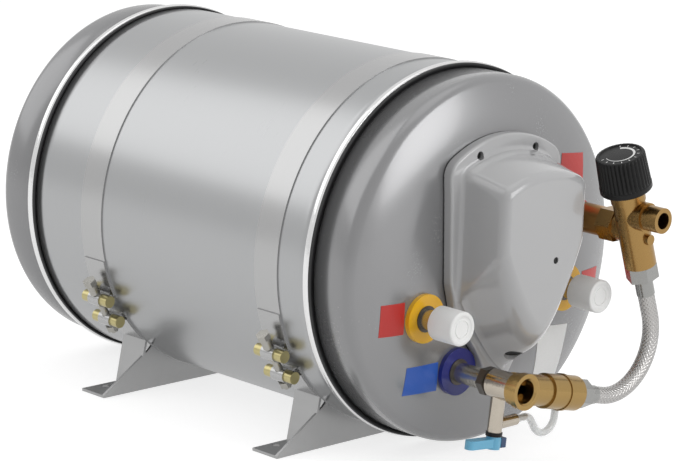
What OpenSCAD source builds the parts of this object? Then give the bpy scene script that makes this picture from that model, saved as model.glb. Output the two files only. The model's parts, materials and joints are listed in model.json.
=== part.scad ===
// Water heater for caravans and campers: a lying insulated tank on two strap feet, with its
// electrical cover, safety valve, mixing valve and hoses on the front.
// Millimetres. +Z is up and the front faces -Y. The origin is the middle of the four foot holes,
// on the plane that the feet stand on. A distance "ahead" is measured from it towards the front.

/* [Shell and caps] */
// Outside diameter of the outer shell
shell_d = 386; // [382:1:388]
// Length of the outer shell
shell_l = 439; // [430:1:450]
// Sheet thickness of the outer shell
shell_t = 0.8; // [0.6:0.1:1.2]
// How far the middle of the shell lies behind the middle of the foot holes
shell_shift = 5.5; // [3:0.5:8]
// Depth of the front cap, from the shell's end to the flat face
front_cap_h = 68; // [62:1:74]
// Depth of the rear cap, from the shell's end to its middle
rear_cap_h = 78; // [72:1:84]
// Sheet thickness of both caps
cap_t = 2; // [1:0.5:3]
// Edge rounding of both caps
cap_edge = 14; // [12:1:16]
// How much smaller the caps' radius is than the shell's
cap_inset = 2; // [1.5:0.5:3]
// Radius of the flat middle of the front cap
face_r = 124; // [118:1:128]
// Width of the steel end rings
ring_w = 8; // [6:0.5:10]
// How far the end rings stand out of the shell
ring_rise = 4; // [3:0.5:5]
// Width of the rubber seals beside the end rings
seal_w = 3.5; // [3:0.5:6]
// How far the rubber seals stand out of the shell
seal_rise = 3; // [2:0.5:3.5]

/* [Inner tank] */
// Outside diameter of the inner tank
tank_d = 304; // [300:1:308]
// Straight length of the inner tank
tank_l = 360; // [350:1:366]
// How far the inner tank lies behind the flat face of the front cap
tank_gap = 68; // [66:0.5:70]
// Depth of the tank's dished ends
tank_dish = 42; // [40:1:44]
// Wall of the inner tank
tank_t = 1.5; // [1:0.5:2]
// Outside diameter of the heat exchanger's pipe
coil_d = 16; // [14:1:17]
// Number of lengths of the heat exchanger's pipe, an even number
coil_n = 6; // [4:2:6]
// Diameter of the heating element's rod
rod_d = 8; // [6:0.5:9]
// Reach of the heating element behind the tank's front end
rod_reach = 270; // [200:5:300]

/* [Straps and feet] */
// Hole spacing of the feet across the heater
foot_x = 322; // [318:1:326]
// Hole spacing of the feet along the heater
foot_y = 276; // [270:1:282]
// Diameter of the foot holes
foot_hole = 9; // [7:0.5:10]
// Sheet thickness of the feet
foot_t = 3; // [2:0.5:4]
// Width of the straps
strap_w = 34; // [30:1:36]
// Sheet thickness of the straps
strap_t = 1.3; // [1:0.1:1.6]
// Height of the straps' lowest point above the mounting plane
foot_rise = 5.7; // [4.2:0.1:9]
// How far the straps lie ahead of the foot holes
strap_lead = 12; // [10:1:12]
// Diameter of the clamp barrels
barrel_d = 13; // [12:0.5:14]
// Length of the clamp barrels
barrel_l = 40; // [34:1:44]
// Diameter of the clamp bolts
bolt_d = 8; // [6:1:8]

/* [Ports] */
// Outside diameter of the pipe stubs
stub_d = 21; // [20:0.5:22]
// Bore of the pipe stubs
stub_bore = 13; // [10:0.5:13]
// Outside diameter of the port washers
washer_d = 49; // [46:1:54]
// Thickness of the port washers
washer_t = 5; // [3:0.5:6]
// Outside diameter of the push-on port caps
plug_d = 35; // [32:0.5:36]
// Length of the push-on port caps
plug_l = 32; // [26:1:36]

/* [Electrical cover] */
// Width of the cover's flange
flange_w = 160; // [156:1:162]
// Height of the cover's flange above the mounting plane
flange_top = 336; // [332:1:336]
// Depth of the cover's flange
flange_h = 12; // [11:0.5:14]
// Width of the hood where it meets the flange
hood_w = 128; // [124:1:130]
// Width of the hood at its front
hood_front_w = 118; // [114:1:122]
// How far the hood stands ahead of the flange
hood_h = 57; // [52:1:60]
// Wall of the cover
cover_t = 2.5; // [2:0.25:3]
// Diameter of the reset button
button_d = 6; // [5:0.25:6.5]
// Diameter of the cable hole
cable_hole = 20; // [16:1:22]

/* [Safety valve and tee] */
// Outside diameter of the safety valve's body
safety_d = 29; // [27:1:30]
// Outside diameter of the relief branch
relief_d = 15; // [14:0.5:17]
// Length of the relief branch below the valve's axis
relief_l = 48.5; // [48:0.5:50]
// Outside diameter of the tee's mouth
mouth_d = 37; // [34:1:38]
// Bore of the tee's mouth
mouth_bore = 24.1; // [20:0.1:26]
// Outside diameter of the tee's arm
arm_d = 32; // [30:1:34]
// Length of the tee's arm with its check valve
arm_l = 97; // [95:1:101]
// Downward slope of the tee's arm, in degrees
arm_dip = 13; // [12:0.5:14]

/* [Mixing valve] */
// Lean of the mixing valve, in degrees
valve_lean = 19; // [17:0.5:21]
// Outside diameter of the mixing valve's body
valve_d = 33.5; // [32:0.5:35]
// Outside diameter of the outlet's thread
outlet_d = 26.4; // [24:0.1:26.4]
// Bore of the outlet
outlet_bore = 17; // [14:0.5:18]
// Diameter of the mixing knob
knob_d = 54; // [50:1:56]
// Height of the mixing knob
knob_h = 40; // [34:1:42]
// Diameter of the knob's spindle
spindle_d = 10; // [8:0.5:12]

/* [Hoses] */
// Outside diameter of the braided hose
hose_d = 17.6; // [16:0.2:18]
// Bend radius of the braided hose
hose_bend = 58; // [52:1:58]
// Outside diameter of the drain tube
tube_d = 8; // [7:0.5:9]

/* [Clearances] */
// Radial clearance of the turning and sliding pieces
run_gap = 0.05; // [0.02:0.01:0.1]
// Clearance round bolts and screws
hole_gap = 0.25; // [0.2:0.05:0.4]

/* [Hidden] */
$fn = 64;

shell_r = shell_d / 2;
cap_r = shell_r - cap_inset;
front_h = shell_l / 2 - shell_shift;
rear_h = shell_l / 2 + shell_shift;
face_h = front_h + front_cap_h;
back_h = rear_h + rear_cap_h;
front_rise = cap_edge + 12;
rear_rise = cap_edge + 15;
skirt = 10;

tank_r = tank_d / 2;
tank_front = face_h - tank_gap;
tank_back = tank_l + 2 * tank_dish - tank_front;
tank_edge = 30;
tank_flat = 20;
stub_start = tank_front - 19;

strap_r = shell_r + strap_t;
axis_z = strap_r + foot_rise;
strap_ys = [-foot_y / 2 - strap_lead, foot_y / 2 - strap_lead];
clamp_a = 31;
clamp_half = 4;
clamp_r = shell_r + 12;
clamp_gap = clamp_r * sin(clamp_half);
loop_r = barrel_d / 2 + strap_t;

left_port = [-101, 158.5];
right_port = [104, 160];
cold_port = [-51.5, 95.5];
hot_port = [120, 234.5];
ring_r = stub_d / 2 + 3;

element_z = 185;
neck_r = 38;
neck_bore = 30;
neck_h = tank_front + 48;
plate_h = face_h + 7;

flange_at = face_h + flange_h;
hood_at = flange_at + hood_h;
button_at = [15.7, 214];
screw_spots = [[-40.5, 318], [40.5, 318], [0, 84]];
cable_at = [-5, 25];

fit_h = face_h + 80;
relief_h = face_h + 62;
body_h = face_h + 50;
mouth_h = face_h + 83;
relief_tilt = 6;
relief_foot = cold_port - relief_l * [sin(relief_tilt), cos(relief_tilt)];

nut_l = 16;
ferrule_l = 19;
barb_l = 87;
low_nut_l = 14;
low_ferrule_l = 14;
grip = 8;
down = [sin(valve_lean), -cos(valve_lean)];
out = [cos(arm_dip), -sin(arm_dip)];
hose_a = hot_port + (41 + nut_l + ferrule_l - grip) * down;
hose_b = cold_port + (arm_l + low_nut_l + low_ferrule_l - grip) * out;

function cross2(a, b) = a[0] * b[1] - a[1] * b[0];

function reversed(p) = [for (i = [len(p) - 1:-1:0]) p[i]];

function arc(c, r, a0, a1, n, first = 0) =
    [for (i = [first:n]) let (a = a0 + (a1 - a0) * i / n) c + r * [cos(a), sin(a)]];

// Outline of a dished end: side radius r, edge rounding e from height h0, and a flat middle of
// radius f at height h1.
function dish(r, e, h0, h1, f) =
    let (big = ((r - e - f) ^ 2 + (h1 - h0) ^ 2 - e ^ 2) / (2 * (h1 - h0 - e)),
        c = [f, h1 - big],
        d = [r - e, h0] - c,
        a = atan2(d[1], d[0]))
    concat(arc([r - e, h0], e, 0, a, 9), arc(c, big, a, 90, 9, 1));

function flipped(p) = [for (q = reversed(p)) [q[0], -q[1]]];

// Top of a cover outline: half width w, top height, crown radius big and corner radius e.
function arch(w, top, big, e) =
    let (zc = top - big + sqrt((big - e) ^ 2 - (w - e) ^ 2),
        a = atan2(zc - top + big, w - e))
    concat(arc([w - e, zc], e, 0, a, 5), arc([0, top - big], big, a, 180 - a, 12, 1),
        arc([e - w, zc], e, 180 - a, 180, 5, 1));

flange_side = [[0.98, 278], [0.93, 190], [0.85, 165], [0.64, 139], [0.475, 121], [0.375, 110],
    [0.325, 103], [0.28, 95], [0.19, 84], [0.1, 76]];

function flange_outline(inset) =
    let (k = 1 - inset / 70,
        side = [for (p = flange_side)
            [p[0] * flange_w / 2 * k, 210 + (p[1] - 210) * k]])
    concat(arch(flange_w / 2 - inset, flange_top - inset, 134 - inset, 20 - inset),
        [for (p = side) [-p[0], p[1]]], reversed(side));

function hood_outline(k, inset) =
    let (w = (hood_w + (hood_front_w - hood_w) * k) / 2 - inset,
        top = flange_top - 17 - 14.5 * k - inset,
        mid = 171 + 61 * k)
    concat(arch(w, top, 136 - inset, 13 - inset),
        [for (i = [0:23]) let (x = w * (-1 + i / 12)) [x, hood_foot(k, inset, x)]],
        [[w, mid]]);

// Height of the hood's lower edge at x, at k of its depth.
function hood_foot(k, inset, x) =
    let (w = (hood_w + (hood_front_w - hood_w) * k) / 2 - inset,
        low = 92 + 41 * k + inset)
    low + (171 + 61 * k - low) * pow(abs(x) / w, 1.3 + 0.7 * k);

// Shapes drawn along +Z point to the front, starting at a distance ahead.
module ahead(p, h) {
    translate([p[0], -h, p[1]]) rotate([90, 0, 0]) children();
}

module tank_axis() {
    ahead([0, axis_z], 0) children();
}

module pipe(r, bore, l) {
    difference() {
        cylinder(r = r, h = l);
        translate([0, 0, -1]) cylinder(r = bore, h = l + 2);
    }
}

module hex(flats, l) {
    cylinder(d = flats / cos(30), h = l, $fn = 6);
}

module band(r0, r1, w, a0, a1) {
    rotate([0, 0, a0]) rotate_extrude(angle = a1 - a0, $fn = 128)
        translate([r0, -w / 2]) square([r1 - r0, w]);
}

module front_solid(grow) {
    tank_axis() rotate_extrude($fn = 128)
        polygon(concat([[0, front_h], [cap_r + grow, front_h]],
            dish(cap_r + grow, cap_edge + grow, face_h - front_rise, face_h + grow, face_r),
            [[0, face_h + grow]]));
}

module outer_shell() {
    color("#c9cacc") tank_axis() translate([0, 0, -rear_h])
        pipe(shell_r, shell_r - shell_t, shell_l, $fn = 128);
}

module cap_sheet(edge_h, mid_h, rise, flat) {
    rotate_extrude($fn = 128) polygon(concat([[cap_r, edge_h - skirt]],
        dish(cap_r, cap_edge, mid_h - rise, mid_h, flat), [[0, mid_h], [0, mid_h - cap_t]],
        reversed(dish(cap_r - cap_t, cap_edge - cap_t, mid_h - rise, mid_h - cap_t, flat)),
        [[cap_r - cap_t, edge_h - skirt]]));
}

module front_cap() {
    color("#9a9b9d") difference() {
        tank_axis() cap_sheet(front_h, face_h, front_rise, face_r);
        for (p = [left_port, right_port, cold_port, hot_port])
            ahead(p, face_h - 20) cylinder(r = ring_r, h = 30);
        ahead([0, element_z], face_h - 20) cylinder(r = neck_r + 8, h = 30);
        for (p = screw_spots) ahead(p, face_h - 20) cylinder(r = 2, h = 30);
    }
}

module rear_cap() {
    color("#9a9b9d") tank_axis() mirror([0, 0, 1]) cap_sheet(rear_h, back_h, rear_rise, 40);
}

module front_ring() {
    color("#d9dadc") tank_axis() translate([0, 0, front_h - ring_w])
        pipe(shell_r + ring_rise, shell_r, ring_w, $fn = 128);
}

module rear_ring() {
    color("#d9dadc") tank_axis() translate([0, 0, -rear_h - ring_w])
        pipe(shell_r + ring_rise, cap_r, ring_w, $fn = 128);
}

module front_seal() {
    color("#1c1c1e") tank_axis() translate([0, 0, front_h])
        pipe(shell_r + seal_rise, cap_r, seal_w, $fn = 128);
}

module rear_seal() {
    color("#1c1c1e") tank_axis() translate([0, 0, -rear_h])
        pipe(shell_r + seal_rise, shell_r, seal_w, $fn = 128);
}

module tank_solid(t) {
    tank_axis() rotate_extrude($fn = 128) polygon(concat(
        flipped(dish(tank_r - t, tank_edge - t, tank_back - tank_dish, tank_back - t,
            tank_flat)),
        dish(tank_r - t, tank_edge - t, tank_front - tank_dish, tank_front - t, tank_flat),
        [[0, tank_front - t], [0, t - tank_back]]));
}

module foam_insulation() {
    color("#d9c98f") difference() {
        tank_axis() rotate_extrude($fn = 128) polygon(concat(
            [[0, cap_t - back_h]],
            flipped(dish(cap_r - cap_t, cap_edge - cap_t, back_h - rear_rise, back_h - cap_t,
                40)),
            [[cap_r - cap_t, skirt - rear_h], [shell_r - shell_t, skirt - rear_h],
                [shell_r - shell_t, front_h - skirt], [cap_r - cap_t, front_h - skirt]],
            dish(cap_r - cap_t, cap_edge - cap_t, face_h - front_rise, face_h - cap_t, face_r),
            [[0, face_h - cap_t]]));
        tank_solid(0);
        for (p = [left_port, right_port, cold_port, hot_port]) {
            ahead(p, stub_start) cylinder(d = stub_d, h = 100);
            ahead(p, face_h - cap_t - 5) cylinder(r = ring_r, h = 20);
        }
        ahead([0, element_z], stub_start) cylinder(r = neck_r, h = 100);
        ahead([0, element_z], neck_h - 6) cylinder(r = neck_r + 8, h = 60);
        for (p = screw_spots) ahead(p, face_h - 14) cylinder(r = 3, h = 20);
    }
}

module inner_tank() {
    color("#b7b9bc") difference() {
        tank_solid(0);
        tank_solid(tank_t);
        for (p = [left_port, right_port, cold_port, hot_port])
            ahead(p, stub_start - 20) cylinder(d = stub_d, h = 60);
        ahead([0, element_z], stub_start - 20) cylinder(r = neck_r, h = 60);
    }
}

module element_neck() {
    color("#a9abae") ahead([0, element_z], tank_front - 7)
        pipe(neck_r, neck_bore, neck_h - tank_front + 7);
}

module stub(p, h) {
    ahead(p, stub_start) pipe(stub_d / 2, stub_bore / 2, h - stub_start);
}

module cold_stub() {
    color("#8d8f92") stub(cold_port, body_h);
}

module hot_stub() {
    color("#8d8f92") stub(hot_port, face_h + 36);
}

module engine_stubs() {
    color("#8d8f92") {
        stub(left_port, face_h + 43);
        stub(right_port, face_h + 43);
    }
}

module port_rings() {
    color("#3a3b3d") for (p = [left_port, right_port, cold_port, hot_port])
        ahead(p, face_h - cap_t - 5)
            pipe(ring_r, stub_d / 2, cap_t + 5 + (p == hot_port ? washer_t : washer_t + 1));
}

module coil_path(r) {
    span = right_port - left_port;
    pitch = round(norm(span) / (coil_n - 1) * 50) / 50;
    near = stub_start - 45;
    far = -130;
    translate([left_port[0], 0, left_port[1]]) rotate([0, -atan2(span[1], span[0]), 0]) {
        for (i = [0:coil_n - 1]) {
            from = i == 0 || i == coil_n - 1 ? stub_start : near;
            translate([i * pitch, -far, 0]) rotate([90, 0, 0])
                cylinder(r = r, h = from - far);
        }
        for (i = [0:coil_n - 2])
            translate([(i + 0.5) * pitch, i % 2 == 0 ? -far : -near, 0])
                rotate([0, 0, i % 2 == 0 ? 0 : 180])
                rotate_extrude(angle = 180) translate([pitch / 2, 0]) circle(r = r);
    }
}

module heat_exchanger_coil() {
    color("#b5794a") difference() {
        coil_path(coil_d / 2);
        coil_path(stub_bore / 2 - 1);
    }
}

module pickup_path(r) {
    bend = 25;
    ahead(hot_port, stub_start - 25) cylinder(r = r, h = 25);
    translate([hot_port[0], -stub_start + 25, hot_port[1] + bend]) rotate([0, 90, 0])
        rotate_extrude(angle = 90) translate([bend, 0]) circle(r = r);
    translate([hot_port[0], -stub_start + 25 + bend, hot_port[1] + bend])
        cylinder(r = r, h = 16);
}

module hot_pickup_tube() {
    color("#9fa1a4") difference() {
        pickup_path(8);
        pickup_path(6);
    }
}

module cold_inlet_tube() {
    color("#9fa1a4") difference() {
        ahead(cold_port, stub_start - 200) cylinder(r = 8, h = 200);
        ahead(cold_port, stub_start - 197) cylinder(r = 6, h = 198);
        for (i = [0:5])
            translate([cold_port[0], 40 + i * 22 - stub_start, cold_port[1]])
                rotate([0, 180, 0]) cylinder(r = 3, h = 12);
    }
}

module rod_path(r, from) {
    turn = 12;
    y = rod_reach - tank_front;
    for (s = [-1, 1])
        translate([s * turn, y, element_z]) rotate([90, 0, 0]) cylinder(r = r, h = y + from);
    translate([0, y, element_z]) rotate_extrude(angle = 180)
        translate([turn, 0]) circle(r = r);
}

module heating_element() {
    color("#8a8c90") {
        rod_path(rod_d / 2, neck_h + 2);
        for (s = [-1, 1])
            ahead([s * 12, element_z], neck_h + 2) cylinder(r = 2, h = plate_h + 12 - neck_h);
    }
}

module element_plug() {
    color("#b08d4a") difference() {
        union() {
            ahead([0, element_z], neck_h - 24) cylinder(r = neck_bore, h = 26);
            ahead([0, element_z], neck_h + 2) hex(2 * neck_r, 12);
            ahead([0, element_z], neck_h + 14) cylinder(r = 18, h = plate_h - neck_h - 14);
        }
        for (s = [-1, 1]) ahead([s * 12, element_z], neck_h - 30) {
            cylinder(d = rod_d, h = 32);
            cylinder(r = 2, h = 80);
        }
        ahead([0, element_z + 10], neck_h - 30) cylinder(r = 3, h = 80);
    }
}

module element_gasket() {
    color("#2b2b2d") ahead([0, element_z], neck_h) pipe(neck_r, neck_bore, 2);
}

module thermostat_probe() {
    color("#c2a25a") ahead([0, element_z + 10], tank_front - 120)
        cylinder(r = 3, h = plate_h + 2 - tank_front + 120);
}

module thermostat_bracket() {
    color("#c4c6c8") difference() {
        ahead([0, 0], plate_h) linear_extrude(2)
            polygon([[-32, 154], [32, 154], [40, 196], [40, 244], [-28, 244], [-32, 196]]);
        for (s = [-1, 1]) ahead([s * 12, element_z], plate_h - 1) cylinder(r = 5, h = 4);
        ahead([0, element_z + 10], plate_h - 1) cylinder(r = 3, h = 4);
    }
}

module thermostat() {
    color("#e4e0d4") difference() {
        ahead([0, 0], plate_h + 2) linear_extrude(hood_at - 23 - plate_h - 2)
            polygon([[-24, 191], [38, 191], [38, 242], [-24, 242]]);
        ahead(button_at, hood_at - 36) cylinder(d = button_d + 2 * run_gap, h = 20);
    }
}

module reset_button() {
    color("#c0392b") ahead(button_at, hood_at - 33) cylinder(d = button_d, h = 32);
}

module terminal_block() {
    color("#efece2") ahead([0, 0], plate_h + 2) linear_extrude(15)
        polygon([[-28, 158], [28, 158], [28, 174], [-28, 174]]);
}

module terminal_screws() {
    color("#c9b26a") for (x = [-18, 0, 18]) ahead([x, 166], plate_h + 17) difference() {
        cylinder(r = 3.2, h = 2);
        translate([-4, -0.5, 1.2]) cube([8, 1, 2]);
    }
}

module internal_wires() {
    color("#2f5fa8") {
        for (x = [-20, 24]) translate([x, -plate_h - 9, 174]) cylinder(r = 1.5, h = 17);
        translate([0, -plate_h - 9, 174]) cylinder(r = 1.5, h = 4);
        translate([0, -plate_h - 15, 178]) rotate([90, 0, 90])
            rotate_extrude(angle = 90) translate([6, 0]) circle(r = 1.5);
        translate([0, -plate_h - 15, 184]) rotate([90, 0, 0]) cylinder(r = 1.5, h = 4);
    }
}

module hood_hull(inset) {
    round_r = 8 - inset;
    hull() {
        ahead([0, 0], flange_at - (inset > 0 ? cover_t + 1 : 1)) linear_extrude(0.02)
            polygon(hood_outline(0, inset));
        for (a = [0, 30, 60, 90]) {
            h = hood_at - inset - round_r * (1 - sin(a));
            ahead([0, 0], h - 0.02) linear_extrude(0.02)
                polygon(hood_outline((h - flange_at) / hood_h, inset + round_r * (1 - cos(a))));
        }
    }
}

// Shapes drawn along +Z point into the cover through its sloping bottom, at the cable hole.
module cable_frame() {
    translate([cable_at[0], -flange_at - cable_at[1],
        hood_foot(cable_at[1] / hood_h, 0, cable_at[0])])
        rotate([0, 40.1, 55]) children();
}

module electrical_cover() {
    color("#b9bbbe") difference() {
        union() {
            difference() {
                union() {
                    ahead([0, 0], face_h + 1.5) linear_extrude(flange_h - 1.5)
                        polygon(flange_outline(0));
                    hood_hull(0);
                }
                ahead([0, 0], face_h) linear_extrude(flange_h - cover_t)
                    polygon(flange_outline(cover_t));
                hood_hull(cover_t);
            }
            for (p = screw_spots) ahead(p, face_h) cylinder(r = 6, h = flange_h);
            intersection() {
                hood_hull(0);
                cable_frame() translate([0, 0, -2]) cylinder(d = cable_hole + 5, h = 14);
            }
        }
        for (p = screw_spots) {
            ahead(p, face_h - 1) cylinder(r = 2 + hole_gap, h = 20);
            ahead(p, face_h + flange_h - 6) cylinder(r = 4.5, h = 10);
        }
        ahead(button_at, hood_at - 10) cylinder(d = button_d + 1, h = 20);
        cable_frame() translate([0, 0, -12]) cylinder(d = cable_hole, h = 30);
        front_solid(0);
    }
}

module cover_gasket() {
    color("#1f1f21") difference() {
        ahead([0, 0], face_h - 4) linear_extrude(5.5) polygon(flange_outline(0));
        ahead([0, 0], face_h - 5) linear_extrude(8) polygon(flange_outline(5));
        for (p = screw_spots) ahead(p, face_h - 5) cylinder(r = 6, h = 10);
        front_solid(0);
    }
}

module cover_screws() {
    color("#3b3c3e") for (p = screw_spots) difference() {
        union() {
            ahead(p, face_h - 12) cylinder(r = 2, h = flange_h + 6);
            ahead(p, face_h + flange_h - 6) cylinder(r = 3.8, h = 2.4);
        }
        ahead(p, face_h + flange_h - 5) translate([-2.6, -0.5, 0]) cube([5.2, 1, 5]);
        ahead(p, face_h + flange_h - 5) translate([-0.5, -2.6, 0]) cube([1, 5.2, 5]);
    }
}

module clamp_frame(y) {
    translate([0, y, axis_z]) rotate([90, 0, 0]) rotate([0, 0, 180 + clamp_a])
        translate([clamp_r * cos(clamp_half), 0, 0]) children();
}

module strap(y) {
    color("#d3d4d6") difference() {
        union() {
            translate([0, y, axis_z]) rotate([90, 0, 0]) {
                band(shell_r, strap_r, strap_w, 183 + clamp_a, 537 + clamp_a);
                band(shell_r + 0.4, strap_r + strap_t, strap_w - 2, 194.5, 176 + clamp_a);
                band(shell_r + 0.4, strap_r + strap_t, strap_w - 2, 186 + clamp_a,
                    196 + clamp_a);
            }
            clamp_frame(y) for (s = [-1, 1]) {
                translate([0, s * clamp_gap, -9]) cylinder(r = loop_r, h = 18);
                translate([shell_r + strap_t / 2 - clamp_r, s * clamp_gap - 1.3, -9])
                    cube([clamp_r - shell_r - loop_r + 2, 2.6, 18]);
            }
        }
        clamp_frame(y) for (s = [-1, 1]) {
            translate([0, s * clamp_gap, -10]) cylinder(d = barrel_d, h = 20);
            translate([0, -40, 0]) rotate([-90, 0, 0])
                cylinder(d = bolt_d + 2 * hole_gap, h = 80);
        }
    }
}

module front_strap() {
    strap(strap_ys[0]);
}

module rear_strap() {
    strap(strap_ys[1]);
}

module clamp_barrels() {
    color("#b98f45") for (y = strap_ys, s = [-1, 1]) clamp_frame(y) difference() {
        translate([0, s * clamp_gap, -barrel_l / 2]) cylinder(d = barrel_d, h = barrel_l);
        translate([0, -40, 0]) rotate([-90, 0, 0]) cylinder(d = bolt_d + 2 * hole_gap, h = 80);
    }
}

module clamp_bolts() {
    seat = clamp_gap + loop_r;
    color("#b7b9bb") for (y = strap_ys) clamp_frame(y) rotate([-90, 0, 0]) {
        translate([0, 0, -seat - 18]) hex(13, 6);
        translate([0, 0, -seat - 12]) cylinder(d = bolt_d + 3, h = 12);
        translate([0, 0, -seat - 12]) cylinder(d = bolt_d, h = 2 * seat + 22);
    }
}

module clamp_nuts() {
    color("#b7b9bb") for (y = strap_ys) clamp_frame(y) rotate([-90, 0, 0])
        translate([0, 0, clamp_gap + loop_r]) difference() {
            hex(13, 6.5);
            translate([0, 0, -1]) cylinder(d = bolt_d, h = 10);
        }
}

module foot(y) {
    tip = foot_x / 2 + 26;
    base = foot_x / 2 - 24;
    color("#c3c5c8") difference() {
        union() {
            translate([0, y - strap_w / 2 + foot_t, 0]) rotate([90, 0, 0])
                linear_extrude(foot_t) polygon([[-tip, 0], [tip, 0], [tip, foot_t],
                    [tip - 63, 44], [tip - 71, 52], [71 - tip, 52], [63 - tip, 44],
                    [-tip, foot_t]]);
            for (s = [-1, 1]) translate([0, y + strap_w / 2 + 3, 0]) rotate([90, 0, 0])
                linear_extrude(strap_w + 3) {
                    polygon([[s * base, 0], [s * tip, 0], [s * tip, foot_t],
                        [s * base, foot_t]]);
                    polygon([[s * base, 0], [s * (base + foot_t), 0],
                        [s * (base + foot_t - 11), 58], [s * (base - 11), 58]]);
                }
        }
        tank_axis() translate([0, 0, -y - 40]) cylinder(r = strap_r, h = 80, $fn = 128);
        for (s = [-1, 1]) translate([s * foot_x / 2, y + strap_lead, -1])
            cylinder(d = foot_hole, h = foot_t + 2);
    }
}

module front_foot() {
    foot(strap_ys[0]);
}

module rear_foot() {
    foot(strap_ys[1]);
}

module washer(p, d) {
    difference() {
        ahead(p, face_h - 6) cylinder(d = d, h = washer_t + 6);
        ahead(p, face_h - 7) cylinder(r = ring_r, h = washer_t + 14);
        front_solid(0);
    }
}

module engine_washers() {
    color("#e2a818") {
        washer(left_port, washer_d + 1);
        washer(right_port, washer_d + 1);
    }
}

module cold_washer() {
    color("#22307a") washer(cold_port, washer_d);
}

module hot_washer() {
    color("#b52a24") washer(hot_port, 2 * ring_r + 8);
}

module port_plug(p) {
    color("#eceae6") difference() {
        ahead(p, face_h + 23) cylinder(d = plug_d, h = plug_l);
        ahead(p, face_h + 22) cylinder(d = stub_d + 2 * run_gap, h = 22);
        ahead(p, face_h + 22 + plug_l) cylinder(d = plug_d - 9, h = 2);
    }
}

module left_port_cap() {
    port_plug(left_port);
}

module right_port_cap() {
    port_plug(right_port);
}

module label(p, w, h, turn) {
    intersection() {
        difference() {
            front_solid(0.4);
            front_solid(0);
        }
        translate([p[0], -face_h, p[1]]) rotate([0, turn, 0])
            translate([-w / 2, -20, -h / 2]) cube([w, 60, h]);
    }
}

module port_labels() {
    color("#c8342c") {
        label([-142, 162], 29, 33, 0);
        label([112.8, 283.8], 39, 33, 7);
        label([151, 155], 30, 33, 0);
    }
}

module cold_label() {
    color("#2f66b5") label([-98, 94], 42, 30, 0);
}

module rating_plate() {
    color("#f2f2f0") label([92, 90], 45, 60, 5);
}

module collar_nut() {
    color("#4a4744") difference() {
        ahead(cold_port, body_h - 8) hex(26, 8);
        ahead(cold_port, body_h - 9) cylinder(d = stub_d, h = 12);
    }
}

module relief_frame() {
    translate([cold_port[0], -relief_h, cold_port[1]]) rotate([0, 180 + relief_tilt, 0])
        children();
}

module safety_valve_body() {
    nozzle = relief_foot + [4, 7.5];
    color("#a7977d") difference() {
        union() {
            ahead(cold_port, body_h) cylinder(d1 = safety_d - 5, d2 = safety_d, h = 4);
            ahead(cold_port, body_h + 4) cylinder(d = safety_d, h = mouth_h - body_h - 4);
            relief_frame() cylinder(d = relief_d, h = relief_l);
            translate([relief_foot[0], -relief_h, nozzle[1]]) rotate([0, 90, 0])
                cylinder(d = tube_d + 4, h = 30);
            translate([relief_foot[0], -relief_h, nozzle[1]]) rotate([0, 90, 0])
                cylinder(d = tube_d - 2, h = 46);
        }
        ahead(cold_port, body_h - 1) cylinder(r = 8, h = mouth_h - body_h + 2);
        along_arm(0) cylinder(d = mouth_bore / 2, h = 60);
        relief_frame() cylinder(r = 6, h = relief_l - 3);
        relief_frame() cylinder(r = 3 + run_gap, h = relief_l + 2);
        translate([relief_foot[0], -relief_h, nozzle[1]]) rotate([0, 90, 0])
            cylinder(r = 2, h = 50);
    }
}

module relief_ring() {
    color("#1b1b1d") relief_frame() translate([0, 0, relief_l])
        pipe(relief_d / 2 + 1, 3 + run_gap, 4);
}

module relief_plunger() {
    color("#b39b62") relief_frame() {
        translate([0, 0, 20]) cylinder(r = 3, h = relief_l - 20 + 12);
        translate([0, 0, 17]) cylinder(r = 5.6, h = 3);
    }
}

module drain_lever() {
    color("#74b2d8") relief_frame() difference() {
        union() {
            translate([0, 0, relief_l + 4.3]) cylinder(r = 7.5, h = 13);
            translate([-8.5, -5.5, relief_l + 6.3]) cube([42, 11, 9]);
            translate([33, 0, relief_l + 6.3]) cylinder(r = 5.5, h = 9);
        }
        translate([0, 0, relief_l]) cylinder(r = 3, h = 12);
    }
}

module lever_tip() {
    color("#2c4f9e") relief_frame() difference() {
        translate([-13, -6, relief_l + 5.8]) cube([7, 12, 10]);
        translate([0, 0, relief_l]) cylinder(r = 7.5, h = 30);
        translate([-8.5, -5.5, relief_l + 6.3]) cube([12, 11, 9]);
    }
}

// Shapes drawn along +Z point along the tee's arm, starting at a distance from its axis.
module along_arm(l) {
    translate([cold_port[0], -fit_h, cold_port[1]]) rotate([0, 90 + arm_dip, 0])
        translate([0, 0, l]) children();
}

module tee() {
    color("#a7977d") difference() {
        union() {
            ahead(cold_port, mouth_h) cylinder(d = mouth_d - 4, h = 16);
            ahead(cold_port, mouth_h + 8) cylinder(d = mouth_d, h = 8);
            along_arm(0) cylinder(d = arm_d, h = 46);
        }
        ahead(cold_port, mouth_h + 1) cylinder(d = mouth_bore, h = 32);
        ahead(cold_port, mouth_h + 14)
            cylinder(d1 = mouth_bore, d2 = mouth_bore + 6, h = 3);
        ahead(cold_port, mouth_h - 1) cylinder(r = 8, h = 32);
        along_arm(0) cylinder(d = mouth_bore / 2, h = 60);
        ahead(cold_port, body_h) cylinder(d = safety_d, h = mouth_h - body_h);
        relief_frame() cylinder(d = relief_d + 1, h = relief_l);
    }
}

module check_valve() {
    color("#b29d7c") difference() {
        union() {
            along_arm(46) cylinder(d = arm_d + 4, h = arm_l - 50);
            along_arm(arm_l - 4) cylinder(d1 = arm_d + 4, d2 = arm_d - 2, h = 4);
            along_arm(70) cylinder(d = arm_d + 6, h = 4);
            along_arm(barb_l) rotate([-90, 0, 0]) cylinder(r = 4.5, h = fit_h - relief_h + 4);
            translate(barb_spot()) cylinder(d = tube_d - 2, h = 12);
        }
        along_arm(45) cylinder(r = 9, h = arm_l);
    }
}

function barb_spot() =
    let (p = cold_port + barb_l * out) [p[0], -relief_h, p[1] - 12];

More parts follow.
